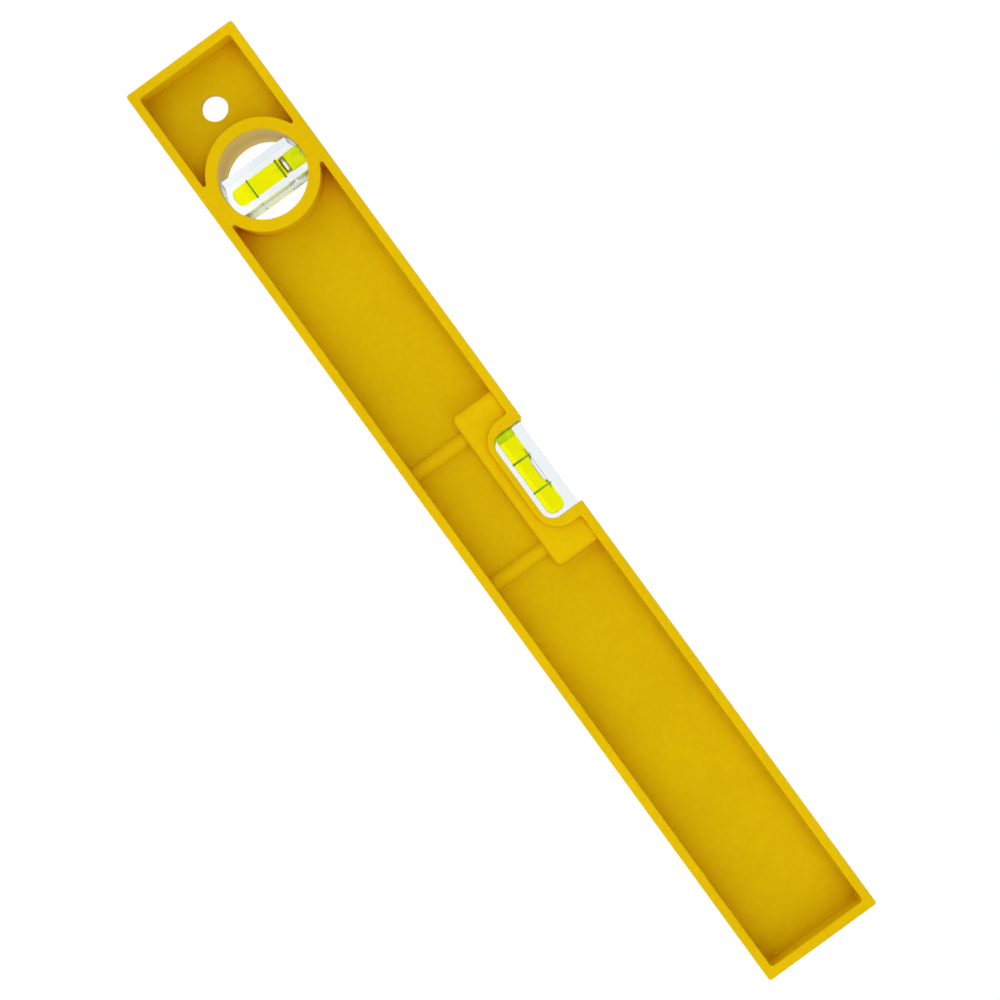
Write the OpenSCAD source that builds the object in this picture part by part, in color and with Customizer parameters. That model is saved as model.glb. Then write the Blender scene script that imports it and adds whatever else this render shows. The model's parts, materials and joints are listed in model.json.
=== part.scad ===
// One-piece moulded spirit level with a horizontal vial in the top rail and a
// plumb vial in a round window.
// X runs along the level, Y through its thickness, Z up.
// The origin is the middle of the bottom measuring face.

/* [Level body] */
// Length of the level
level_length = 400; // [300:5:600]
// Height between the two measuring faces
level_height = 48; // [48:0.5:60]
// Thickness of the rails, end walls and ring
level_thickness = 24; // [22:0.5:30]
// Thickness of the web between the rails
web_thickness = 3; // [2:0.5:5]
// Height of each rail, seen from the front
rail_height = 3.5; // [2.5:0.25:5]
// Thickness of each end wall
end_wall = 3.8; // [2.5:0.1:6]
// Radius of the outer corners of the body
outer_corner_r = 1; // [0.5:0.25:3]
// Radius of the pocket corners
pocket_corner_r = 1; // [0.5:0.25:3]

/* [Hang hole] */
// Distance from the left end of the level to the hole's centre
hang_hole_inset = 20; // [12:0.5:22]
// Diameter of the hang hole
hang_hole_d = 10; // [5:0.5:12]

/* [Plumb window] */
// Distance from the middle of the level to the ring's centre
ring_offset = 147; // [90:0.5:148]
// Outer diameter of the ring
ring_outer_d = 42.6; // [42:0.1:46]
// Inner diameter of the ring
ring_inner_d = 33.5; // [30:0.1:36]

/* [Notch] */
// Width of the notch in the top rail
notch_width = 37.3; // [30:0.1:39]
// Height of the notch floor above the bottom face
notch_floor = 33.3; // [33:0.1:36]
// Radius of the notch's lower corners
notch_corner_r = 5; // [2:0.5:6]
// Width of the lip beside the notch
lip_side = 4.4; // [2:0.1:6]
// Depth of the lip below the notch floor
lip_below = 2.3; // [1.5:0.1:4]
// Radius of the lip's outer corners
lip_corner_r = 9.5; // [4:0.5:10]

/* [Vial pad and ribs] */
// Half length of the raised pad around the notch
pad_half_length = 34; // [28:0.5:45]
// Height of the pad's lower edge above the bottom face
pad_floor = 26.5; // [20:0.5:29]
// How far the pad's faces lie below the rim
pad_recess = 3; // [1:0.5:4]
// Distance from the middle of the level to each rib
rib_offset = 25; // [15:0.5:30]
// Width of each half-round rib
rib_width = 6.4; // [4:0.2:8]

/* [Vials] */
// Width and depth of each clear block
block_size = 15; // [13:0.5:16]
// Length of the horizontal block
horizontal_block_length = 40; // [38:0.5:40]
// Diameter of the bore in each block
bore_d = 7.5; // [6:0.1:9]
// Distance from each block's middle to each reading line
line_offset = 6.5; // [5:0.1:8]
// Width of a reading line
line_width = 0.7; // [0.3:0.1:1]
// How deep a reading line is let into the bore wall
line_depth = 0.25; // [0.1:0.05:0.5]
// Distance from the horizontal block's middle to the blind end of its bore
horizontal_bore_end = 17; // [14:0.1:17.5]
// Distance from the plumb block's middle to the blind end of its bore
plumb_bore_end = 14.1; // [12:0.1:14.5]
// Radius of the blind end's corner
bore_end_r = 3; // [1:0.1:3.2]
// Length of the horizontal vial's plug
horizontal_plug_length = 4.5; // [3:0.1:6]
// Distance from the plumb block's middle to the plug's inner face
plumb_plug_start = 10; // [9:0.1:11]
// Thickness of the adhesive film at the plumb block's ends
adhesive_film = 0.2; // [0.1:0.05:0.4]
// Height of the adhesive bead on the horizontal block's ends
adhesive_bead = 0.7; // [0.3:0.1:1.5]

/* [Bubbles] */
// Radius of the horizontal bubble's underside
horizontal_bubble_r = 9.5; // [8:0.1:11]
// Height of the horizontal bubble
horizontal_bubble_height = 1.9; // [1:0.1:2.4]
// Radius of the plumb bubble's underside
plumb_bubble_r = 4.5; // [4:0.1:6]
// Height of the plumb bubble
plumb_bubble_height = 2.8; // [2:0.1:3.5]
// Thickness of the liquid film between a bubble and the bore
bubble_film = 0.15; // [0.1:0.05:0.3]

/* [Hidden] */
$fn = 96;

body_colour = "#E0BC00";
acrylic_colour = "#E8F1F8";
liquid_colour = "#E6F000";
horizontal_plug_colour = "#A8C800";
plumb_plug_colour = "#D9DE00";
line_colour = "#1F3320";
bubble_colour = "#FFFFFF";
adhesive_colour = "#D8D8D0";

overshoot = 1;
fit_gap = 0.01;
seat_gap = 0.05;
bubble_gap = 0.05;
mid_height = level_height / 2;
ring_x = -ring_offset;
bore_r = bore_d / 2;
ring_inner_r = ring_inner_d / 2;
pad_thickness = level_thickness - 2 * pad_recess;
horizontal_axis_z = 39.1;
horizontal_block_bottom = horizontal_axis_z - block_size / 2;
horizontal_block_top = horizontal_axis_z + block_size / 2;
horizontal_plug_face = horizontal_block_length / 2 - horizontal_plug_length;
horizontal_bubble_centre = bore_r - bubble_film - horizontal_bubble_height + horizontal_bubble_r;
plumb_block_r = ring_inner_r - adhesive_film;

// Extrudes a front view, drawn in X and Z, evenly to both sides of Y = 0.
module front_view(depth) {
    rotate([90, 0, 0])
        linear_extrude(depth, center = true)
            children();
}

module rounded_rect(left, right, bottom, top, r) {
    translate([left + r, bottom])
        square([right - left - 2 * r, top - bottom]);
    translate([left, bottom + r])
        square([right - left, top - bottom - 2 * r]);
    for (x = [left + r, right - r], z = [bottom + r, top - r])
        translate([x, z])
            circle(r);
}

// A slot that is open at the top, with rounded lower corners.
module slot_outline(width, floor_z, r, top_z) {
    translate([-width / 2 + r, floor_z])
        square([width - 2 * r, top_z - floor_z]);
    translate([-width / 2, floor_z + r])
        square([width, top_z - floor_z - r]);
    for (side = [-1, 1])
        translate([side * (width / 2 - r), floor_z + r])
            circle(r);
}

module level_outline() {
    rounded_rect(-level_length / 2, level_length / 2, 0, level_height, outer_corner_r);
}

module pocket_outline() {
    rounded_rect(-level_length / 2 + end_wall, level_length / 2 - end_wall,
                 rail_height, level_height - rail_height, pocket_corner_r);
}

module at_ring() {
    translate([ring_x, 0, mid_height])
        children();
}

// A cylinder along Y, centred on Y = 0.
module cross_cylinder(r, depth) {
    rotate([90, 0, 0])
        cylinder(r = r, h = depth, center = true);
}

module rim() {
    front_view(level_thickness)
        difference() {
            level_outline();
            pocket_outline();
        }
}

module web() {
    front_view(web_thickness)
        level_outline();
}

module notch_lip() {
    front_view(level_thickness)
        intersection() {
            slot_outline(notch_width + 2 * lip_side, notch_floor - lip_below, lip_corner_r,
                         level_height);
            level_outline();
        }
}

module vial_pad() {
    front_view(pad_thickness)
        rounded_rect(-pad_half_length, pad_half_length, pad_floor,
                     level_height - rail_height / 2, pocket_corner_r);
}

module ribs() {
    for (side = [-1, 1], face = [-1, 1])
        translate([side * rib_offset, face * web_thickness / 2, rail_height / 2])
            cylinder(d = rib_width, h = pad_floor);
}

module notch_cut() {
    front_view(level_thickness + 2 * overshoot)
        slot_outline(notch_width, notch_floor, notch_corner_r, level_height + overshoot);
}

// The channel and end grooves that the horizontal block drops into.
module vial_seat() {
    seat_length = horizontal_block_length + 2 * seat_gap;
    seat_width = block_size + 2 * seat_gap;
    translate([-seat_length / 2, -seat_width / 2, horizontal_block_bottom])
        cube([seat_length, seat_width, level_height]);
}

module body() {
    color(body_colour)
        difference() {
            union() {
                rim();
                web();
                at_ring()
                    cross_cylinder(ring_outer_d / 2, level_thickness);
                notch_lip();
                vial_pad();
                ribs();
            }
            notch_cut();
            vial_seat();
            at_ring()
                cross_cylinder(ring_inner_r, level_thickness + 2 * overshoot);
            translate([-level_length / 2 + hang_hole_inset, 0, mid_height])
                cross_cylinder(hang_hole_d / 2, level_thickness);
        }
}

// Vial parts are drawn along Z, with the plug at the top, about the block's middle.
module place_horizontal() {
    translate([0, 0, horizontal_axis_z])
        rotate([0, -90, 0])
            children();
}

// A blind bore with a rounded lower end, from below the middle up to top_z.
module bore_shape(r, end_z, top_z) {
    corner = bore_end_r;
    rotate_extrude()
        union() {
            translate([0, -end_z])
                square([r - corner, corner]);
            translate([0, -end_z + corner])
                square([r, top_z + end_z - corner]);
            intersection() {
                translate([r - corner, -end_z + corner])
                    circle(corner);
                translate([0, -end_z])
                    square([r, corner]);
            }
        }
}

module line_ring(z, clearance) {
    translate([0, 0, z - line_width / 2 - clearance])
        difference() {
            cylinder(r = bore_r + line_depth + clearance, h = line_width + 2 * clearance);
            translate([0, 0, -overshoot])
                cylinder(r = bore_r, h = line_width + 2 * clearance + 2 * overshoot);
        }
}

module line_grooves() {
    for (z = [-line_offset, line_offset])
        line_ring(z, fit_gap);
}

module horizontal_vial_block() {
    color(acrylic_colour)
        place_horizontal()
            difference() {
                cube([block_size, block_size, horizontal_block_length], center = true);
                bore_shape(bore_r, horizontal_bore_end, horizontal_block_length);
                line_grooves();
            }
}

module horizontal_vial_plug() {
    color(horizontal_plug_colour)
        place_horizontal()
            translate([0, 0, horizontal_plug_face])
                cylinder(r = bore_r - fit_gap, h = horizontal_plug_length);
}

// The bubble lies along the top of the bore, so it is drawn in the level's own frame.
module horizontal_bubble_shape(growth) {
    translate([0, 0, horizontal_axis_z])
        intersection() {
            translate([0, 0, horizontal_bubble_centre])
                sphere(horizontal_bubble_r + growth);
            rotate([0, 90, 0])
                cylinder(r = bore_r - bubble_film + growth, h = horizontal_block_length / 2,
                         center = true);
        }
}

module horizontal_vial_liquid() {
    color(liquid_colour)
        difference() {
            place_horizontal()
                bore_shape(bore_r - fit_gap, horizontal_bore_end - fit_gap,
                           horizontal_plug_face - fit_gap);
            horizontal_bubble_shape(bubble_gap);
        }
}

module horizontal_vial_bubble() {
    color(bubble_colour)
        horizontal_bubble_shape(0);
}

module horizontal_vial_line_left() {
    color(line_colour)
        place_horizontal()
            line_ring(line_offset, 0);
}

module horizontal_vial_line_right() {
    color(line_colour)
        place_horizontal()
            line_ring(-line_offset, 0);
}

// A bead in the end groove, on top of the block's end.
module horizontal_adhesive(side) {
    bead_length = (horizontal_block_length - notch_width) / 2;
    color(adhesive_colour)
        translate([side * (notch_width + bead_length) / 2, 0, horizontal_block_top + adhesive_bead / 2])
            cube([bead_length, block_size, adhesive_bead], center = true);
}

module horizontal_vial_adhesive_left() {
    horizontal_adhesive(-1);
}

module horizontal_vial_adhesive_right() {
    horizontal_adhesive(1);
}

module plumb_vial_block() {
    color(acrylic_colour)
        at_ring()
            difference() {
                intersection() {
                    cube([block_size, block_size, ring_inner_d], center = true);
                    cross_cylinder(plumb_block_r, level_thickness);
                }
                bore_shape(bore_r, plumb_bore_end, ring_inner_d);
                line_grooves();
            }
}

module plumb_vial_plug() {
    color(plumb_plug_colour)
        at_ring()
            intersection() {
                translate([0, 0, plumb_plug_start])
                    cylinder(r = bore_r - fit_gap, h = plumb_block_r);
                cross_cylinder(plumb_block_r, level_thickness);
            }
}

module plumb_bubble_shape(growth) {
    bottom_z = plumb_plug_start - plumb_bubble_height - bubble_film;
    translate([0, 0, bottom_z + plumb_bubble_r])
        intersection() {
            sphere(plumb_bubble_r + growth);
            translate([0, 0, -plumb_bubble_r - growth])
                cylinder(r = bore_r - bubble_film + growth, h = plumb_bubble_height + 2 * growth);
        }
}

module plumb_vial_liquid() {
    color(liquid_colour)
        at_ring()
            difference() {
                bore_shape(bore_r - fit_gap, plumb_bore_end - fit_gap, plumb_plug_start - fit_gap);
                plumb_bubble_shape(bubble_gap);
            }
}

module plumb_vial_bubble() {
    color(bubble_colour)
        at_ring()
            plumb_bubble_shape(0);
}

module plumb_vial_line_upper() {
    color(line_colour)
        at_ring()
            line_ring(line_offset, 0);
}

module plumb_vial_line_lower() {
    color(line_colour)
        at_ring()
            line_ring(-line_offset, 0);
}

// The film between one rounded end of the block and the ring.
module plumb_adhesive(side) {
    color(adhesive_colour)
        at_ring()
            intersection() {
                difference() {
                    cross_cylinder(ring_inner_r, block_size);
                    cross_cylinder(plumb_block_r, block_size + 2 * overshoot);
                }
                translate([0, 0, side * ring_inner_r / 2])
                    cube([block_size, block_size + 2 * overshoot, ring_inner_r], center = true);
            }
}

module plumb_vial_adhesive_upper() {
    plumb_adhesive(1);
}

module plumb_vial_adhesive_lower() {
    plumb_adhesive(-1);
}

body();
horizontal_vial_block();
horizontal_vial_plug();
horizontal_vial_liquid();
horizontal_vial_bubble();
horizontal_vial_line_left();
horizontal_vial_line_right();
horizontal_vial_adhesive_left();
horizontal_vial_adhesive_right();
plumb_vial_block();
plumb_vial_plug();
plumb_vial_liquid();
plumb_vial_bubble();
plumb_vial_line_upper();
plumb_vial_line_lower();
plumb_vial_adhesive_upper();
plumb_vial_adhesive_lower();
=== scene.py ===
import json
import math

import bmesh
import bpy
from mathutils import Matrix, Vector


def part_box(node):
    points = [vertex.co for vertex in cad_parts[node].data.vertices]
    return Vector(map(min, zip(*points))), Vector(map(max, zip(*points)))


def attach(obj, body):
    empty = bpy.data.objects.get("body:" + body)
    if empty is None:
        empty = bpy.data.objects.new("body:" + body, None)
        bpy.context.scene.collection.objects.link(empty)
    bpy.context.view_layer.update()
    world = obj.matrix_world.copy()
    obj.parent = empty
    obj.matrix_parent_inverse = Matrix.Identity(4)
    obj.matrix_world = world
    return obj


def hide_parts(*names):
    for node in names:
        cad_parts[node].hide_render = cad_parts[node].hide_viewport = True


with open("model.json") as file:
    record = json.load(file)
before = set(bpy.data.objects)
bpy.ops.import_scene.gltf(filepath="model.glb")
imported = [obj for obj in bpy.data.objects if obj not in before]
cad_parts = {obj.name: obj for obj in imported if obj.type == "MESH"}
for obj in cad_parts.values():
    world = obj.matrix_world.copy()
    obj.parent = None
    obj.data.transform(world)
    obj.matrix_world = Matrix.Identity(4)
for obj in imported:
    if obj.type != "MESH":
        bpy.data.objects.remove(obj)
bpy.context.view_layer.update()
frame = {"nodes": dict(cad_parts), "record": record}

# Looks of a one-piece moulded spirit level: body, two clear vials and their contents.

MM = 0.001
FINE = 0.35  # longest chord along a curve, in mm


# ---------------------------------------------------------------- sizes, in mm

def box_mm(node):
    low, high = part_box(node)
    return [v / MM for v in low], [v / MM for v in high]


BODY_HIGH = box_mm("body")[1]
H_LOW, H_HIGH = box_mm("horizontal_vial_block")
P_LOW, P_HIGH = box_mm("plumb_vial_block")

HALF_LENGTH = BODY_HIGH[0]
HALF_THICK = BODY_HIGH[1]
HEIGHT = BODY_HIGH[2]
MID_Z = HEIGHT / 2
OUTER_CORNER = 1.0
RAIL = 3.5
END_WALL = 3.8
POCKET_CORNER = 1.2
HALF_WEB = 1.5
PAINTED_SHADE_END = 6.5  # distance from the middle plane where the pockets' painted shade ends

RING_X = (P_LOW[0] + P_HIGH[0]) / 2
RING_OUTER = 21.3
RING_INNER = 16.75
WEDGE_FILLET = 0.7

HANG_X = frame["record"]["mounts"][0]["pos_m"][0] / MM
HANG_R = frame["record"]["mounts"][0]["dims"]["r_mm"]

NOTCH_HALF = 18.65
NOTCH_FLOOR = 33.3
NOTCH_CORNER = 5.0
LIP_HALF = NOTCH_HALF + 4.4
LIP_FLOOR = NOTCH_FLOOR - 2.3
LIP_CORNER = 9.5
LIP_FILLET = 0.9

PAD_HALF = 34.0
PAD_FLOOR = 26.5
PAD_FACE = HALF_THICK - 3.0
PAD_CORNER = 2.8
PAD_SOFT = 2.2  # rounding of the pad's face
PAD_FOOT = 2.0
RIB_X = 25.0
RIB_R = 3.2
RIB_FOOT = 2.0

EDGE = 0.45  # rounding of the rim's edges
BORE_EDGE = 0.25  # rounding of the ring bore's edges
HANG_EDGE = 0.3
FOOT = 0.45  # fillet where a wall meets the web
DRAFT = 0.2  # how far a wall leans in over its depth
SPARE = 1.0  # how far a cutter runs past what it cuts

BORE_R = box_mm("horizontal_vial_liquid")[1][1]
BORE_END_R = 3.0
BORE_GAP = 0.02  # between the liquid and the bore wall
PLUG_GAP = 0.03
BUBBLE_FILM = 0.03  # how far a bubble stays inside the bore
ROOM = 0.05  # how far the liquid stays clear of a bubble
BUBBLE_SLANT = 0.24  # share of a half length that each end slants over
SEAT_GAP = 0.05
SEAT_CORNER = 0.3
BLOCK_EDGE = 0.06

ACRYLIC_IOR = 1.49
LIQUID_IOR = 1.46
WHITE = (1, 1, 1, 1)


# ------------------------------------------------------- outlines made of arcs
# An outline is a closed list of arcs (x, z, radius, start, end), in degrees, which straight lines
# join. It runs anticlockwise with its inside on the left, so moving it out by d adds d to the
# radius of an anticlockwise arc and takes d from a clockwise one.

def arc_steps(arc):
    r, start, end = arc[2:]
    sweep = abs(end - start)
    return max(3, int(math.ceil(math.radians(sweep) * r / FINE)), int(sweep / 15))


def on_arc(arc, part, out=0.0):
    x, z, r, start, end = arc
    radius = r + out if end > start else r - out
    a = math.radians(start + (end - start) * part)
    return x + radius * math.cos(a), z + radius * math.sin(a)


def outline_points(arcs, out=0.0):
    points = []
    for arc, following in zip(arcs, arcs[1:] + arcs[:1]):
        steps = arc_steps(arc)
        touching = math.dist(on_arc(arc, 1), on_arc(following, 0)) < FINE / 100
        for i in range(steps if touching else steps + 1):
            points.append(on_arc(arc, i / steps, out))
    return points


def rounded_rect(left, right, bottom, top, r):
    return [(left + r, bottom + r, r, 180, 270), (right - r, bottom + r, r, 270, 360),
            (right - r, top - r, r, 0, 90), (left + r, top - r, r, 90, 180)]


def circle_outline(x, z, r):
    return [(x, z, r, a, a + 90) for a in (0, 90, 180, 270)]


def quarter_round(size, steps=4):
    """(depth, inset) pairs from an edge's outer corner line to its inner one."""
    pairs = []
    for i in range(steps + 1):
        a = math.radians(90 * i / steps)
        pairs.append((size * (1 - math.cos(a)), size * (1 - math.sin(a))))
    return pairs


# ------------------------------------------------------------------ mesh tools

def new_object(name, bm, materials=()):
    mesh = bpy.data.meshes.new(name)
    bmesh.ops.recalc_face_normals(bm, faces=bm.faces)
    bm.to_mesh(mesh)
    bm.free()
    for m in materials:
        mesh.materials.append(m)
    obj = bpy.data.objects.new(name, mesh)
    bpy.context.scene.collection.objects.link(obj)
    return obj


def skin_rings(bm, rings, caps=True):
    """Joins rings of as many points each (mm) with quads, and may close both ends."""
    made = [[bm.verts.new([c * MM for c in p]) for p in ring] for ring in rings]
    count = len(made[0])
    for a, b in zip(made, made[1:]):
        for i in range(count):
            j = (i + 1) % count
            bm.faces.new((a[i], a[j], b[j], b[i]))
    if caps:
        bm.faces.new(made[0])
        bm.faces.new(list(reversed(made[-1])))
    return made


def loft(bm, arcs, levels):
    """Solid through the outline at each (y, out) level."""
    skin_rings(bm, [[(x, y, z) for x, z in outline_points(arcs, out)] for y, out in levels])


def revolve(bm, profile, place, steps=96):
    """Solid of revolution of (radius, along) pairs. Its two ends lie on the axis."""
    rings = []
    for r, t in profile[1:-1]:
        rings.append([place(r * math.cos(2 * math.pi * i / steps),
                            r * math.sin(2 * math.pi * i / steps), t) for i in range(steps)])
    made = skin_rings(bm, rings, caps=False)
    for ring, along in ((made[0], profile[0][1]), (made[-1], profile[-1][1])):
        tip = bm.verts.new([c * MM for c in place(0, 0, along)])
        for i in range(steps):
            bm.faces.new((ring[i], ring[(i + 1) % steps], tip))


def ride_clear(obj, body="level"):
    """Puts a clear piece on its body. It casts no shadow, since lamplight goes through it."""
    obj.visible_shadow = False
    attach(obj, body)


def cut(obj, cutter):
    """Takes the cutter's shape out of obj and removes the cutter."""
    mod = obj.modifiers.new("cut", "BOOLEAN")
    mod.operation = "DIFFERENCE"
    mod.solver = "EXACT"
    mod.object = cutter
    graph = bpy.context.evaluated_depsgraph_get()
    mesh = bpy.data.meshes.new_from_object(obj.evaluated_get(graph))
    obj.modifiers.clear()
    old = obj.data
    obj.data = mesh
    name = old.name
    bpy.data.meshes.remove(old)
    mesh.name = name
    used = cutter.data
    bpy.data.objects.remove(cutter)
    bpy.data.meshes.remove(used)


def finish_shading(obj, angle=38, weighted=True):
    """Smooth faces, edges sharper than the angle kept crisp, large faces kept flat."""
    bm = bmesh.new()
    bm.from_mesh(obj.data)
    bmesh.ops.remove_doubles(bm, verts=bm.verts, dist=2e-6)
    bmesh.ops.dissolve_degenerate(bm, edges=bm.edges, dist=1e-6)
    for face in bm.faces:
        face.smooth = True
    limit = math.radians(angle)
    for edge in bm.edges:
        edge.smooth = not (edge.is_manifold and edge.calc_face_angle(0) > limit)
    bm.to_mesh(obj.data)
    bm.free()
    if weighted:
        mod = obj.modifiers.new("flat faces", "WEIGHTED_NORMAL")
        mod.mode = "FACE_AREA"
        mod.weight = 80
        mod.keep_sharp = True


# ------------------------------------------------------------------- the body

def wedge():
    """Distance along X from the ring's centre to a wedge fillet's centre, and its angle."""
    rise = MID_Z - RAIL - WEDGE_FILLET
    run = math.sqrt((RING_OUTER + WEDGE_FILLET) ** 2 - rise ** 2)
    return run, math.degrees(math.atan2(rise, run))


def end_pocket_arcs():
    run, tilt = wedge()
    left = -HALF_LENGTH + END_WALL + POCKET_CORNER
    low, high = RAIL + WEDGE_FILLET, HEIGHT - RAIL - WEDGE_FILLET
    return [(left, RAIL + POCKET_CORNER, POCKET_CORNER, 180, 270),
            (RING_X - run, low, WEDGE_FILLET, 270, 360 + tilt),
            (RING_X, MID_Z, RING_OUTER, 180 + tilt, 180 - tilt),
            (RING_X - run, high, WEDGE_FILLET, 360 - tilt, 450),
            (left, HEIGHT - RAIL - POCKET_CORNER, POCKET_CORNER, 90, 180)]


def long_pocket_arcs():
    run, tilt = wedge()
    right = HALF_LENGTH - END_WALL - POCKET_CORNER
    low, high = RAIL + WEDGE_FILLET, HEIGHT - RAIL - WEDGE_FILLET
    top = HEIGHT - RAIL
    lip_x, lip_z = LIP_HALF - LIP_CORNER, LIP_FLOOR + LIP_CORNER
    return [(right, RAIL + POCKET_CORNER, POCKET_CORNER, 270, 360),
            (right, top - POCKET_CORNER, POCKET_CORNER, 0, 90),
            (LIP_HALF + LIP_FILLET, top - LIP_FILLET, LIP_FILLET, 90, 180),
            (lip_x, lip_z, LIP_CORNER, 360, 270),
            (-lip_x, lip_z, LIP_CORNER, 270, 180),
            (-LIP_HALF - LIP_FILLET, top - LIP_FILLET, LIP_FILLET, 0, 90),
            (RING_X + run, high, WEDGE_FILLET, 90, 180 + tilt),
            (RING_X, MID_Z, RING_OUTER, tilt, -tilt),
            (RING_X + run, low, WEDGE_FILLET, 180 - tilt, 270)]


def pocket_levels():
    """From above the rim, over its rounded edge and down the wall to the web."""
    levels = [(-HALF_THICK - SPARE, EDGE + SPARE)]
    levels += [(-HALF_THICK + depth, out) for depth, out in quarter_round(EDGE)]
    levels += [(-HALF_WEB - out, -DRAFT - depth) for depth, out in quarter_round(FOOT)]
    return levels


def pad_levels():
    """From inside the web, over its foot fillet and up to the pad's softly rounded face."""
    levels = [(-HALF_WEB + SPARE, PAD_FOOT + SPARE)]
    levels += [(-HALF_WEB - depth, out) for depth, out in quarter_round(PAD_FOOT, 6)]
    levels += [(-PAD_FACE + out, -DRAFT - depth) for depth, out in quarter_round(PAD_SOFT, 8)]
    return levels


def rib_section():
    """Half-round rib with a soft foot, as (x, y) from the rib's centre line on the web."""
    foot = RIB_FOOT
    reach = math.sqrt((RIB_R + foot) ** 2 - foot ** 2)
    meet = math.degrees(math.asin(foot / (RIB_R + foot)))
    side = []
    for i in range(5):
        a = math.radians(270 - (90 - meet) * i / 4)
        side.append((reach + foot * math.cos(a), foot + foot * math.sin(a)))
    crown = []
    for i in range(1, 24):
        a = math.radians(meet + (180 - 2 * meet) * i / 24)
        crown.append((RIB_R * math.cos(a), RIB_R * math.sin(a)))
    right = [(reach + SPARE, -SPARE)] + side
    left = [(-x, y) for x, y in reversed(right)]
    return right + crown + left


def add_rib(bm, x0):
    rings = []
    for z in (RAIL - 1.5, PAD_FLOOR + 1.5):
        rings.append([(x0 + x, -HALF_WEB - y, z) for x, y in rib_section()])
    skin_rings(bm, rings)


def front_pockets():
    bm = bmesh.new()
    loft(bm, long_pocket_arcs(), pocket_levels())
    pocket = new_object("pocket", bm)
    bm = bmesh.new()
    loft(bm, rounded_rect(-PAD_HALF, PAD_HALF, PAD_FLOOR, HEIGHT - RAIL + 4, PAD_CORNER),
         pad_levels())
    cut(pocket, new_object("pad", bm))
    for side in (-1, 1):
        bm = bmesh.new()
        add_rib(bm, side * RIB_X)
        cut(pocket, new_object("rib", bm))
    bm = bmesh.new()
    loft(bm, end_pocket_arcs(), pocket_levels())
    end_pocket = new_object("end_pocket", bm)
    return pocket, end_pocket


def mirrored(obj):
    """A copy of obj on the other side of Y = 0."""
    bm = bmesh.new()
    bm.from_mesh(obj.data)
    bmesh.ops.transform(bm, matrix=Matrix.Diagonal((1, -1, 1, 1)), verts=bm.verts)
    bmesh.ops.reverse_faces(bm, faces=bm.faces)
    return new_object(obj.name + "_back", bm)


def slab_levels(half, edge):
    """Levels of a solid slab with rounded edges at both faces."""
    front = [(-half + out, -depth) for depth, out in reversed(quarter_round(edge))]
    return front + [(-y, out) for y, out in reversed(front)]


def through_levels(half, edge):
    """Levels of a cut right through, with rounded edges at both faces."""
    front = [(-half - SPARE, edge + SPARE)]
    front += [(-half + depth, out) for depth, out in quarter_round(edge)]
    return front + [(-y, out) for y, out in reversed(front)]


def notch_arcs():
    """The notch, open at the top, where its side walls round over into the rail's face."""
    over = EDGE
    top = HEIGHT + SPARE
    return [(-NOTCH_HALF + NOTCH_CORNER, NOTCH_FLOOR + NOTCH_CORNER, NOTCH_CORNER, 180, 270),
            (NOTCH_HALF - NOTCH_CORNER, NOTCH_FLOOR + NOTCH_CORNER, NOTCH_CORNER, 270, 360),
            (NOTCH_HALF + over, HEIGHT - over, over, 180, 90),
            (NOTCH_HALF + over + SPARE, top, 0.05, 0, 90),
            (-NOTCH_HALF - over - SPARE, top, 0.05, 90, 180),
            (-NOTCH_HALF - over, HEIGHT - over, over, 90, 0)]


def seat_arcs():
    half = H_HIGH[0] + SEAT_GAP
    return rounded_rect(-half, half, H_LOW[2] - SEAT_GAP, HEIGHT + SPARE, SEAT_CORNER)


def make_body(material, seat_material):
    bm = bmesh.new()
    loft(bm, rounded_rect(-HALF_LENGTH, HALF_LENGTH, 0, HEIGHT, OUTER_CORNER),
         slab_levels(HALF_THICK, EDGE))
    body = new_object("body_moulding", bm, [material, seat_material])

    for cutter in front_pockets():
        back = mirrored(cutter)
        cut(body, cutter)
        cut(body, back)

    bm = bmesh.new()
    loft(bm, circle_outline(RING_X, MID_Z, RING_INNER), through_levels(HALF_THICK, BORE_EDGE))
    cut(body, new_object("ring_bore", bm))
    bm = bmesh.new()
    loft(bm, circle_outline(HANG_X, MID_Z, HANG_R), through_levels(HALF_WEB, HANG_EDGE))
    cut(body, new_object("hang_hole", bm))
    bm = bmesh.new()
    loft(bm, notch_arcs(), through_levels(HALF_THICK, EDGE))
    cut(body, new_object("notch", bm))
    bm = bmesh.new()
    seat_y = H_HIGH[1] + SEAT_GAP
    loft(bm, seat_arcs(), [(-seat_y, 0), (seat_y, 0)])
    cut(body, new_object("seat", bm))

    finish_shading(body)
    # the seat's faces take the second material, a lighter copy of the body plastic that is painted
    # light
    for poly in body.data.polygons:
        x, y, z = [abs(c / MM) for c in poly.center]
        in_seat = x < H_HIGH[0] + 0.1 and y < seat_y + 0.01 and z > H_LOW[2] - 0.1
        poly.material_index = 1 if in_seat else 0
    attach(body, "level")
    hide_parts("body")
    return body


# ------------------------------------------------------------------- the vials

class Vial:
    """Where one vial lies: maps (across, across, along) to the frame, along towards its plug."""

    def __init__(self, name, centre, along, end, plug_face, top):
        self.name = name
        self.centre = centre
        self.along = along
        self.end = end
        self.plug_face = plug_face
        self.top = top

    def place(self, u, v, t):
        cx, cy, cz = self.centre
        if self.along == "-X":
            return (cx - t, cy + u, cz + v)
        return (cx + u, cy + v, cz + t)


def vial_sizes(name, along):
    low, high = box_mm(name + "_vial_block")
    liquid_low, liquid_high = box_mm(name + "_vial_liquid")
    centre = [(a + b) / 2 for a, b in zip(low, high)]
    if along == "-X":
        return Vial(name, centre, along, liquid_high[0] - centre[0],
                    centre[0] - liquid_low[0], centre[0] - low[0])
    return Vial(name, centre, along, centre[2] - liquid_low[2],
                liquid_high[2] - centre[2], high[2] - centre[2])


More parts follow.
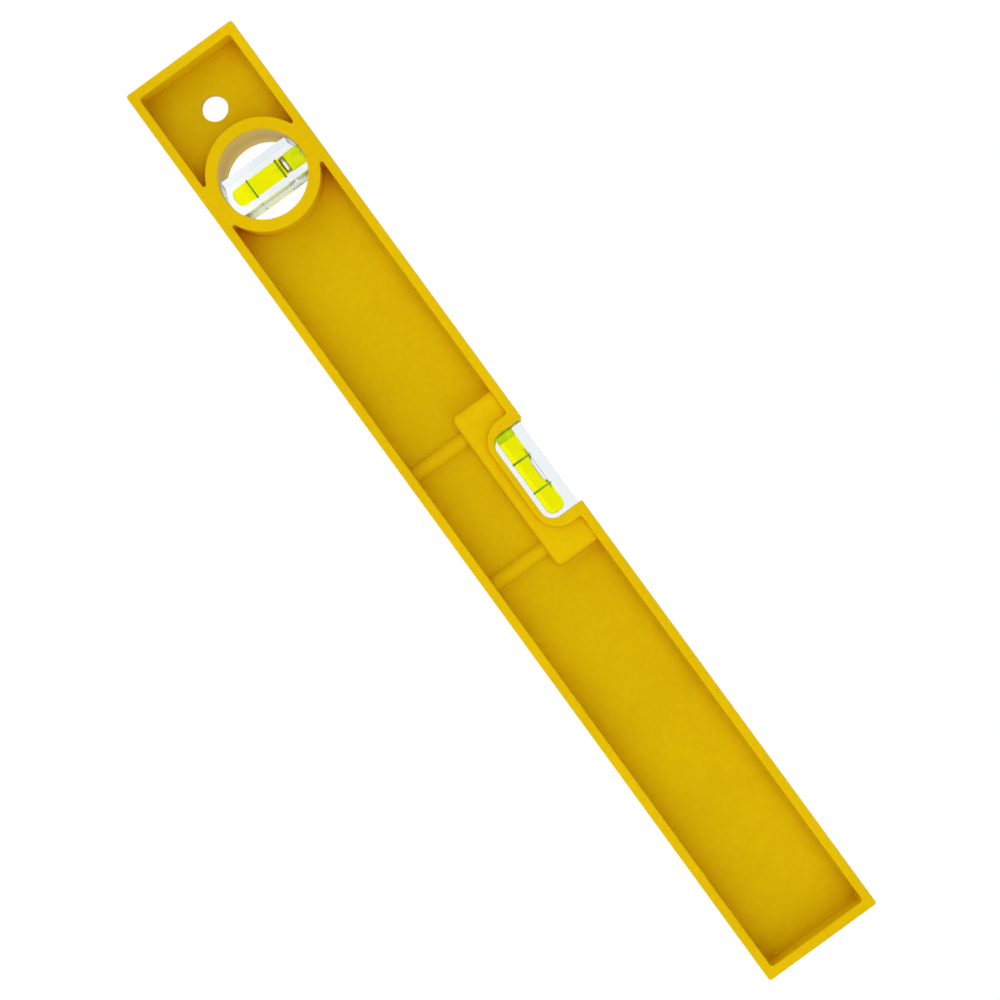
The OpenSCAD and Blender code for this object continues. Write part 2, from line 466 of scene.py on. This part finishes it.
def bore_profile(r, end, top):
    """Blind bore: (radius, along) from its rounded end to a flat face at top."""
    profile = [(0, -end)]
    for i in range(9):
        a = math.radians(90 * i / 8)
        profile.append((r - BORE_END_R + BORE_END_R * math.sin(a),
                        -end + BORE_END_R - BORE_END_R * math.cos(a)))
    return profile + [(r, top), (0, top)]


def plumb_block_arcs(edge):
    """Flat sides, with ends that follow the ring."""
    cx = RING_X
    half = (P_HIGH[0] - P_LOW[0]) / 2
    end_r = (P_HIGH[2] - P_LOW[2]) / 2
    x = half - edge
    z = math.sqrt((end_r - edge) ** 2 - x ** 2)
    g = math.degrees(math.atan2(z, x))
    return [(cx + x, MID_Z + z, edge, 0, g), (cx, MID_Z, end_r, g, 180 - g),
            (cx - x, MID_Z + z, edge, 180 - g, 180), (cx - x, MID_Z - z, edge, 180, 180 + g),
            (cx, MID_Z, end_r, 180 + g, 360 - g), (cx + x, MID_Z - z, edge, 360 - g, 360)]


def make_block(vial, arcs, clear, bore_wall, sawn):
    half = H_HIGH[1]
    bm = bmesh.new()
    loft(bm, arcs, slab_levels(half, BLOCK_EDGE))
    block = new_object(vial.name + "_block", bm, [clear, bore_wall, sawn])
    bm = bmesh.new()
    revolve(bm, bore_profile(BORE_R + BORE_GAP, vial.end + BORE_GAP, vial.top + SPARE), vial.place)
    cut(block, new_object("bore", bm))
    finish_shading(block, 30)
    centre = Vector([c * MM for c in vial.centre])
    across = Vector((0, 1, 1)) if vial.along == "-X" else Vector((1, 1, 0))
    mesh = block.data
    for poly in mesh.polygons:
        corners = [(mesh.vertices[v].co - centre) * across for v in poly.vertices]
        if max(c.length for c in corners) < (BORE_R + 0.1) * MM:
            poly.material_index = 1
        elif abs(poly.normal.x) > 0.9:
            poly.material_index = 2
    ride_clear(block)
    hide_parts(vial.name + "_vial_block")
    return block


def make_liquid(vial, material):
    bm = bmesh.new()
    revolve(bm, bore_profile(BORE_R, vial.end, vial.plug_face), vial.place)
    liquid = new_object(vial.name + "_liquid", bm, [material])
    finish_shading(liquid, 50, weighted=False)
    ride_clear(liquid)
    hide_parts(vial.name + "_vial_liquid")
    return liquid


def leave_room(liquid, bubble, body):
    """Keeps the liquid clear of the bubble, wherever the bubble has slid to."""
    bm = bmesh.new()
    bm.from_mesh(bubble.data)
    for vert in bm.verts:
        vert.co += vert.normal * ROOM * MM
    room = new_object(bubble.name + "_room", bm)
    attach(room, body)
    room.hide_render = True
    mod = liquid.modifiers.new("room for the bubble", "BOOLEAN")
    mod.operation = "DIFFERENCE"
    mod.solver = "EXACT"
    mod.object = room


def make_plug(vial, material):
    """Pressed-in plug with a chamfered inner face and a dished outer one."""
    chamfer, outer_chamfer, dish, sunk = 0.4, 0.2, 0.6, 0.25
    flat = 0.25  # share of the outer face that is flat at the dish's bottom
    r = BORE_R - PLUG_GAP
    rim = r - outer_chamfer
    inner, outer = vial.plug_face + PLUG_GAP, vial.top - sunk
    profile = [(0, inner), (r - chamfer, inner), (r - chamfer / 3, inner + chamfer / 3),
               (r, inner + chamfer), (r, outer - outer_chamfer), (rim, outer)]
    steps = 6
    for i in range(1, steps + 1):
        part = i / steps
        profile.append((rim * (1 - part * (1 - flat)), outer - dish * math.sin(part * math.pi / 2)))
    profile.append((0, outer - dish))
    bm = bmesh.new()
    revolve(bm, profile, vial.place)
    plug = new_object(vial.name + "_plug", bm, [material])
    finish_shading(plug, 40)
    ride_clear(plug)
    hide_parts(vial.name + "_vial_plug")


def make_horizontal_bubble(material):
    """Long bubble with a level underside, whose top follows the bore."""
    low, high = box_mm("horizontal_vial_bubble")
    half_length = (high[0] - low[0]) / 2 - 0.1
    narrowing = 0.94  # keeps the bubble's side edges from closing to a knife edge
    squareness = 12  # how full the cross-section is towards its side edges
    tip = 3  # steps left out at each end, where the rings would shrink to a point
    depth = high[2] - low[2]
    mid_x = (low[0] + high[0]) / 2
    axis_z = (H_LOW[2] + H_HIGH[2]) / 2
    roof = BORE_R - BUBBLE_FILM
    lengthwise, around = 40, 64
    rings = []
    for i in range(tip, lengthwise - tip + 1):
        part = -math.cos(math.pi * i / lengthwise)
        slope = (1 - abs(part)) / BUBBLE_SLANT
        swell = slope / (1 + slope ** 4) ** 0.25
        under = roof - depth * swell
        half_width = narrowing * math.sqrt(roof ** 2 - under ** 2)
        ring = []
        for k in range(around):
            b = 2 * math.pi * k / around
            y = half_width * math.cos(b)
            over = math.sqrt(roof ** 2 - y ** 2)
            half = (over - under) / 2 * math.sqrt(1 - math.cos(b) ** squareness)
            z = (over + under) / 2 + math.copysign(half, math.sin(b))
            ring.append((mid_x + half_length * part, y, axis_z + z))
        rings.append(ring)
    bm = bmesh.new()
    skin_rings(bm, rings)
    bubble = new_object("horizontal_bubble_air", bm, [material])
    finish_shading(bubble, 80, weighted=False)
    ride_clear(bubble, "horizontal_bubble")
    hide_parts("horizontal_vial_bubble")
    return bubble


def make_plumb_bubble(material):
    """Wide bubble pressed against the plug, with a domed underside."""
    low, high = box_mm("plumb_vial_bubble")
    r = BORE_R - BUBBLE_FILM
    top = high[2] - MID_Z
    bottom = low[2] - MID_Z
    shoulder, dome = 0.5, 1.5
    profile = [(0, bottom)]
    for i in range(1, 17):
        a = math.radians(90 * i / 16)
        profile.append((r * math.sin(a), bottom + dome * (1 - math.cos(a))))
    for i in range(1, 7):
        a = math.radians(90 * i / 6)
        profile.append((r - shoulder * (1 - math.cos(a)), top - shoulder + shoulder * math.sin(a)))
    profile.append((0, top))
    bm = bmesh.new()
    revolve(bm, profile, lambda u, v, t: (RING_X + u, v, MID_Z + t))
    bubble = new_object("plumb_bubble_air", bm, [material])
    finish_shading(bubble, 80, weighted=False)
    ride_clear(bubble, "plumb_bubble")
    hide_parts("plumb_vial_bubble")
    return bubble


def make_end_bead(side, material):
    """Glue bead across the groove, on top of the horizontal block's end."""
    node = "horizontal_vial_adhesive_" + ("left" if side < 0 else "right")
    low, high = box_mm(node)
    rings = []
    steps, around, inset = 24, 12, 0.1
    end_share, rise_share = 0.35, 0.5  # of the CAD pad's height: at the ends, and added between
    half_width = (high[0] - low[0]) * 0.48
    for i in range(steps + 1):
        part = i / steps
        y = low[1] + inset + (high[1] - low[1] - 2 * inset) * part
        swell = math.sin(math.pi * part) ** 0.4 if 0 < part < 1 else 0
        wobble = 0.1 * math.sin(9 * part + side) + 0.06 * math.sin(23 * part)
        h = (high[2] - low[2]) * (end_share + (rise_share + wobble) * swell)
        ring = []
        for k in range(around + 1):
            a = math.pi * k / around
            x = (low[0] + high[0]) / 2 + half_width * math.cos(a)
            ring.append((x, y, low[2] + h * math.sin(a) ** 0.7))
        rings.append(ring)
    bm = bmesh.new()
    skin_rings(bm, rings)
    bead = new_object(node.replace("_vial", "") + "_bead", bm, [material])
    finish_shading(bead, 60, weighted=False)
    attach(bead, "level")
    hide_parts(node)


def make_ring_film(side, material):
    """Glue between a rounded end of the plumb block and the ring, squeezed out at its edges."""
    node = "plumb_vial_adhesive_" + ("upper" if side > 0 else "lower")
    low, high = box_mm(node)
    outer, inner = RING_INNER - 0.01, (P_HIGH[2] - P_LOW[2]) / 2
    overhang = 4  # degrees of glue past each end of the CAD pad
    half_angle = math.degrees(math.asin((high[0] - low[0]) / 2 / outer)) + overhang
    bulge, bulge_start = 0.35, 0.78
    steps, across = 48, 5
    rings = []
    for i in range(steps + 1):
        part = 2 * i / steps - 1
        a = math.radians(90 * side + half_angle * part)
        fat = max(0.0, abs(part) - bulge_start) / (1 - bulge_start)
        proud = bulge * math.sin(math.pi * fat) ** 0.8 if 0 < fat < 1 else 0
        wave = 0.5 + 0.25 * math.sin(7 * part + side)
        half_y = H_HIGH[1] - 0.2 - 0.5 * wave
        r_in = inner - proud
        ring = []
        for k in range(across + 1):
            ring.append((outer, -half_y + 2 * half_y * k / across))
        for k in range(across + 1):
            ring.append((r_in, half_y - 2 * half_y * k / across))
        rings.append([(RING_X + r * math.cos(a), y, MID_Z + r * math.sin(a)) for r, y in ring])
    bm = bmesh.new()
    skin_rings(bm, rings)
    film = new_object(node.replace("_vial", "") + "_film", bm, [material])
    finish_shading(film, 60, weighted=False)
    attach(film, "level")
    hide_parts(node)


# ------------------------------------------------------------------- materials

def new_material(name):
    mat = bpy.data.materials.new(name)
    mat.use_nodes = True
    nt = mat.node_tree
    nt.nodes.clear()
    out = nt.nodes.new("ShaderNodeOutputMaterial")
    coord = nt.nodes.new("ShaderNodeTexCoord")
    return mat, nt, out, coord.outputs["Object"]


def noise(nt, vector, scale, detail=3.0, rough=0.5):
    n = nt.nodes.new("ShaderNodeTexNoise")
    n.inputs["Scale"].default_value = scale
    n.inputs["Detail"].default_value = detail
    n.inputs["Roughness"].default_value = rough
    nt.links.new(vector, n.inputs["Vector"])
    return n.outputs["Fac"]


def ramp(nt, fac, stops):
    r = nt.nodes.new("ShaderNodeValToRGB")
    r.color_ramp.elements[0].position, r.color_ramp.elements[0].color = stops[0]
    r.color_ramp.elements[1].position, r.color_ramp.elements[1].color = stops[-1]
    for position, colour in stops[1:-1]:
        e = r.color_ramp.elements.new(position)
        e.color = colour
    nt.links.new(fac, r.inputs["Fac"])
    return r.outputs["Color"]


def map_range(nt, fac, low, high, span=(0.0, 1.0)):
    m = nt.nodes.new("ShaderNodeMapRange")
    m.inputs["From Min"].default_value, m.inputs["From Max"].default_value = span
    m.inputs["To Min"].default_value = low
    m.inputs["To Max"].default_value = high
    nt.links.new(fac, m.inputs["Value"])
    return m.outputs["Result"]


def multiply_colours(nt, a, b):
    m = nt.nodes.new("ShaderNodeMix")
    m.data_type = "RGBA"
    m.blend_type = "MULTIPLY"
    m.inputs["Factor"].default_value = 1.0
    for name, colour in (("A", a), ("B", b)):
        nt.links.new(colour, [i for i in m.inputs if i.name == name and i.type == "RGBA"][0])
    return [o for o in m.outputs if o.type == "RGBA"][0]


def bump(nt, height, distance, strength=1.0, normal=None):
    b = nt.nodes.new("ShaderNodeBump")
    b.inputs["Distance"].default_value = distance
    b.inputs["Strength"].default_value = strength
    nt.links.new(height, b.inputs["Height"])
    if normal is not None:
        nt.links.new(normal, b.inputs["Normal"])
    return b.outputs["Normal"]


def moulded_plastic(name, tones, speckle_and_painted_shade):
    """Satin plastic with a fine moulded grain. It can also take a speckle and painted shade in pockets
    and corners.
    """
    mat, nt, out, at = new_material(name)
    s = nt.nodes.new("ShaderNodeBsdfPrincipled")
    mottle = noise(nt, at, 420, 4, 0.6)
    base = ramp(nt, noise(nt, at, 28, 2), [(0.3, tones[0]), (0.7, tones[1])])
    if speckle_and_painted_shade:
        speck = ramp(nt, mottle, [(0.35, (0.96, 0.93, 0.9, 1)), (0.65, WHITE)])
        base = multiply_colours(nt, base, speck)
        # painted shade: darker on the web and warmer in tight corners; the speckle above is the
        # plastic's own mottle
        base = multiply_colours(nt, base, painted_pocket_shade(nt, at))
        base = multiply_colours(nt, base, painted_corner_shade(nt))
    nt.links.new(base, s.inputs["Base Color"])
    nt.links.new(map_range(nt, mottle, 0.36, 0.5), s.inputs["Roughness"])
    s.inputs["Specular IOR Level"].default_value = 0.3
    s.inputs["Specular Tint"].default_value = (1.0, 0.85, 0.12, 1)
    grain = bump(nt, noise(nt, at, 1500, 2, 0.5), 0.00003, 0.6)
    nt.links.new(bump(nt, noise(nt, at, 90, 2), 0.0002, 0.35, grain), s.inputs["Normal"])
    nt.links.new(s.outputs["BSDF"], out.inputs["Surface"])
    return mat


def painted_pocket_shade(nt, at):
    """Painted shade: darker on the web than on the rims, by the distance from Y = 0."""
    parts = nt.nodes.new("ShaderNodeSeparateXYZ")
    nt.links.new(at, parts.inputs[0])
    away = nt.nodes.new("ShaderNodeMath")
    away.operation = "ABSOLUTE"
    nt.links.new(parts.outputs["Y"], away.inputs[0])
    rise = map_range(nt, away.outputs[0], 0.0, 1.0, (HALF_WEB * MM, PAINTED_SHADE_END * MM))
    return ramp(nt, rise, [(0.0, (0.90, 0.90, 1, 1)), (1.0, WHITE)])


def painted_corner_shade(nt):
    """Painted shade: darker and warmer where walls crowd in on each other, by ambient occlusion."""
    shut = nt.nodes.new("ShaderNodeAmbientOcclusion")
    shut.samples = 6
    shut.only_local = True
    shut.inputs["Distance"].default_value = 0.012
    return ramp(nt, shut.outputs["AO"], [(0.15, (1, 0.56, 1, 1)), (0.42, (1, 0.93, 1, 1)),
                                         (0.8, WHITE)])


def glass_material(name, colours, ior, scale=120.0, roughness=(0.0, 0.01)):
    """A clear material whose tint and polish vary slightly, by noise."""
    mat, nt, out, at = new_material(name)
    s = nt.nodes.new("ShaderNodeBsdfGlass")
    s.inputs["IOR"].default_value = ior
    fac = noise(nt, at, scale, 2)
    nt.links.new(ramp(nt, fac, [(0.3, colours[0]), (0.7, colours[1])]), s.inputs["Color"])
    nt.links.new(map_range(nt, fac, *roughness), s.inputs["Roughness"])
    nt.links.new(s.outputs["BSDF"], out.inputs["Surface"])
    return mat


def bore_wall_material():
    """The bore wall where block and liquid touch: the liquid's own surface bends the light."""
    mat, nt, out, at = new_material("bore_wall")
    s = nt.nodes.new("ShaderNodeBsdfTransparent")
    fac = noise(nt, at, 300, 2)
    nt.links.new(ramp(nt, fac, [(0.3, (0.99, 0.995, 1, 1)), (0.7, (1, 1, 1, 1))]),
                 s.inputs["Color"])
    nt.links.new(s.outputs["BSDF"], out.inputs["Surface"])
    return mat


def liquid_material():
    """Colour by depth, so that the bubbles stay clear. Its index is told relative to the block's."""
    mat = glass_material("level_liquid", ((0.985, 0.99, 0.98, 1), (1, 1, 1, 1)),
                         LIQUID_IOR / ACRYLIC_IOR)
    nt = mat.node_tree
    v = nt.nodes.new("ShaderNodeVolumeAbsorption")
    v.inputs["Color"].default_value = (0.99995, 0.9966, 0.0, 1)
    v.inputs["Density"].default_value = 2500
    out = [n for n in nt.nodes if n.type == "OUTPUT_MATERIAL"][0]
    nt.links.new(v.outputs["Volume"], out.inputs["Volume"])
    return mat


def plug_material(name, dark, light):
    """Translucent plastic, which passes and scatters light."""
    mat, nt, out, at = new_material(name)
    s = nt.nodes.new("ShaderNodeBsdfPrincipled")
    fac = noise(nt, at, 350, 3)
    nt.links.new(ramp(nt, fac, [(0.3, dark), (0.7, light)]), s.inputs["Base Color"])
    nt.links.new(map_range(nt, fac, 0.25, 0.45), s.inputs["Roughness"])
    s.inputs["Transmission Weight"].default_value = 0.93
    s.inputs["IOR"].default_value = 1.06
    nt.links.new(bump(nt, noise(nt, at, 900, 2), 0.00003), s.inputs["Normal"])
    nt.links.new(s.outputs["BSDF"], out.inputs["Surface"])
    return mat


def ink_material():
    mat, nt, out, at = new_material("line_ink")
    s = nt.nodes.new("ShaderNodeBsdfPrincipled")
    fac = noise(nt, at, 1400, 3)
    nt.links.new(ramp(nt, fac, [(0.35, (0.24, 0.46, 0.01, 1)), (0.65, (0.40, 0.72, 0.02, 1))]),
                 s.inputs["Base Color"])
    nt.links.new(map_range(nt, fac, 0.4, 0.6), s.inputs["Roughness"])
    nt.links.new(s.outputs["BSDF"], out.inputs["Surface"])
    return mat


def glue_material():
    mat, nt, out, at = new_material("cured_glue")
    s = nt.nodes.new("ShaderNodeBsdfPrincipled")
    fac = noise(nt, at, 700, 4, 0.6)
    nt.links.new(ramp(nt, fac, [(0.3, (0.84, 0.84, 0.72, 1)), (0.7, (0.94, 0.94, 0.86, 1))]),
                 s.inputs["Base Color"])
    nt.links.new(map_range(nt, fac, 0.15, 0.35), s.inputs["Roughness"])
    s.inputs["Transmission Weight"].default_value = 0.3
    s.inputs["IOR"].default_value = 1.3
    nt.links.new(bump(nt, noise(nt, at, 500, 3), 0.0001), s.inputs["Normal"])
    nt.links.new(s.outputs["BSDF"], out.inputs["Surface"])
    return mat


# -------------------------------------------------------- floor, light, camera

def make_floor():
    bm = bmesh.new()
    half = 5.0
    steps = 8
    rings = []
    for i in range(steps + 1):
        rings.append([bm.verts.new((-half + 2 * half * k / steps, -half + 2 * half * i / steps, 0))
                      for k in range(steps + 1)])
    for a, b in zip(rings, rings[1:]):
        for k in range(steps):
            bm.faces.new((a[k], a[k + 1], b[k + 1], b[k]))
    mat, nt, out, at = new_material("floor_paper")
    s = nt.nodes.new("ShaderNodeBsdfPrincipled")
    tone = ramp(nt, noise(nt, at, 40, 2), [(0.3, (0.25, 0.25, 0.25, 1)), (0.7, (0.27, 0.27, 0.27, 1))])
    nt.links.new(tone, s.inputs["Base Color"])
    s.inputs["Roughness"].default_value = 0.9
    s.inputs["Specular IOR Level"].default_value = 0.0
    s.inputs["Emission Color"].default_value = (1, 1, 1, 1)
    s.inputs["Emission Strength"].default_value = 0.9
    nt.links.new(s.outputs["BSDF"], out.inputs["Surface"])
    floor = new_object("floor", bm, [mat])
    floor.visible_glossy = False


def make_light():
    world = bpy.data.worlds.new("studio")
    bpy.context.scene.world = world
    world.use_nodes = True
    nt = world.node_tree
    nt.nodes.clear()
    out = nt.nodes.new("ShaderNodeOutputWorld")
    path = nt.nodes.new("ShaderNodeLightPath")
    seen = nt.nodes.new("ShaderNodeBackground")
    seen.inputs["Color"].default_value = (1, 1, 1, 1)
    seen.inputs["Strength"].default_value = 1.0
    lit = nt.nodes.new("ShaderNodeBackground")
    lit.inputs["Color"].default_value = (1, 1, 1, 1)
    mirrored_dim = nt.nodes.new("ShaderNodeMapRange")
    mirrored_dim.inputs["To Min"].default_value = 0.56
    towards = nt.nodes.new("ShaderNodeTexCoord")
    parts = nt.nodes.new("ShaderNodeSeparateXYZ")
    nt.links.new(towards.outputs["Generated"], parts.inputs[0])
    behind = map_range(nt, parts.outputs["Y"], 0.06, 1.0, (0.4, 0.9))
    nt.links.new(behind, mirrored_dim.inputs["To Max"])
    nt.links.new(path.outputs["Is Glossy Ray"], mirrored_dim.inputs["Value"])
    nt.links.new(mirrored_dim.outputs["Result"], lit.inputs["Strength"])
    either = nt.nodes.new("ShaderNodeMath")
    either.operation = "MAXIMUM"
    nt.links.new(path.outputs["Is Camera Ray"], either.inputs[0])
    nt.links.new(path.outputs["Is Transmission Ray"], either.inputs[1])
    mix = nt.nodes.new("ShaderNodeMixShader")
    nt.links.new(either.outputs[0], mix.inputs["Fac"])
    nt.links.new(lit.outputs[0], mix.inputs[1])
    nt.links.new(seen.outputs[0], mix.inputs[2])
    nt.links.new(mix.outputs[0], out.inputs["Surface"])

    def area(name, place, size, power, mirrored=False):
        data = bpy.data.lights.new(name, "AREA")
        data.shape = "DISK"
        data.size = size
        data.energy = power
        data.cycles.use_multiple_importance_sampling = mirrored
        lamp = bpy.data.objects.new(name, data)
        lamp.visible_camera = False
        lamp.visible_transmission = False
        lamp.visible_glossy = mirrored
        lamp.location = place
        aim = Vector((0, 0, 0.02)) - Vector(place)
        lamp.rotation_euler = aim.to_track_quat("-Z", "Y").to_euler()
        bpy.context.scene.collection.objects.link(lamp)

    for side, name in ((-1, "front"), (1, "back")):
        area(name + "_key", (0.15, 1.2 * side, 0.16), 0.8, 2.8)
        area(name + "_right", (1.0, 0.8 * side, 0.14), 0.8, 2.4)
        area(name + "_left", (-1.0, 0.8 * side, 0.14), 0.8, 1.7)
    area("top", (0, -0.1, 1.3), 0.5, 1.5, mirrored=True)


def make_camera():
    place = Vector((0.0165, -0.6914, 0.0238))
    yaw, roll = math.radians(-1.3), math.radians(53.88)
    forward = Vector((math.sin(yaw), math.cos(yaw), 0))
    right = Vector((math.cos(yaw), -math.sin(yaw), 0))
    up = Vector((0, 0, 1))
    cam_x = right * math.cos(roll) + up * math.sin(roll)
    cam_y = -right * math.sin(roll) + up * math.cos(roll)
    turn = Matrix((cam_x, cam_y, -forward)).transposed().to_4x4()
    data = bpy.data.cameras.new("camera")
    data.lens = 66.98
    data.sensor_width = 36
    data.clip_start = 0.01
    camera = bpy.data.objects.new("camera", data)
    camera.matrix_world = Matrix.Translation(place) @ turn
    bpy.context.scene.collection.objects.link(camera)
    bpy.context.scene.camera = camera


# ---------------------------------------------------------------- put together

bpy.context.scene.view_settings.view_transform = "Standard"
make_camera()
make_floor()
make_light()

abs_tones = (0.75, 0.495, 0.0, 1), (0.80, 0.535, 0.0, 1)
# painted light: lighter tones of the same plastic for the seat faces seen through the clear block
seat_painted_light_tones = (0.93, 0.86, 0.0, 1), (0.97, 0.90, 0.0, 1)
make_body(moulded_plastic("yellow_abs", abs_tones, speckle_and_painted_shade=True),
          moulded_plastic("seat_painted_light_abs", seat_painted_light_tones, speckle_and_painted_shade=False))

clear = glass_material("clear_acrylic", ((0.93, 0.955, 0.975, 1), (0.95, 0.97, 0.985, 1)),
                       ACRYLIC_IOR)
sawn = glass_material("sawn_acrylic", ((0.93, 0.955, 0.975, 1), (0.97, 0.985, 0.99, 1)), ACRYLIC_IOR,
                      scale=600.0, roughness=(0.12, 0.22))
bore_wall = bore_wall_material()
liquid_mat = liquid_material()
air = glass_material("air_bubble", ((0.985, 0.99, 0.99, 1), (1, 1, 1, 1)), 1 / ACRYLIC_IOR)
glue = glue_material()

horizontal = vial_sizes("horizontal", "-X")
plumb = vial_sizes("plumb", "+Z")
make_block(horizontal, rounded_rect(H_LOW[0], H_HIGH[0], H_LOW[2], H_HIGH[2], BLOCK_EDGE),
           clear, bore_wall, sawn)
make_block(plumb, plumb_block_arcs(BLOCK_EDGE), clear, bore_wall, sawn)
# painted shade: the horizontal plug takes a darker, greener copy of the lime plug plastic, for the
# shade under the notch's wall
make_plug(horizontal, plug_material("green_plug", (0.50, 0.68, 0.0, 1), (0.66, 0.86, 0.01, 1)))
make_plug(plumb, plug_material("lime_plug", (0.76, 0.84, 0.0, 1), (0.90, 0.95, 0.01, 1)))
leave_room(make_liquid(horizontal, liquid_mat), make_horizontal_bubble(air), "horizontal_bubble")
leave_room(make_liquid(plumb, liquid_mat), make_plumb_bubble(air), "plumb_bubble")
for side in (-1, 1):
    make_end_bead(side, glue)
    make_ring_film(side, glue)

ink = ink_material()
for node in ("horizontal_vial_line_left", "horizontal_vial_line_right",
             "plumb_vial_line_upper", "plumb_vial_line_lower"):
    frame["nodes"][node].material_slots[0].material = ink
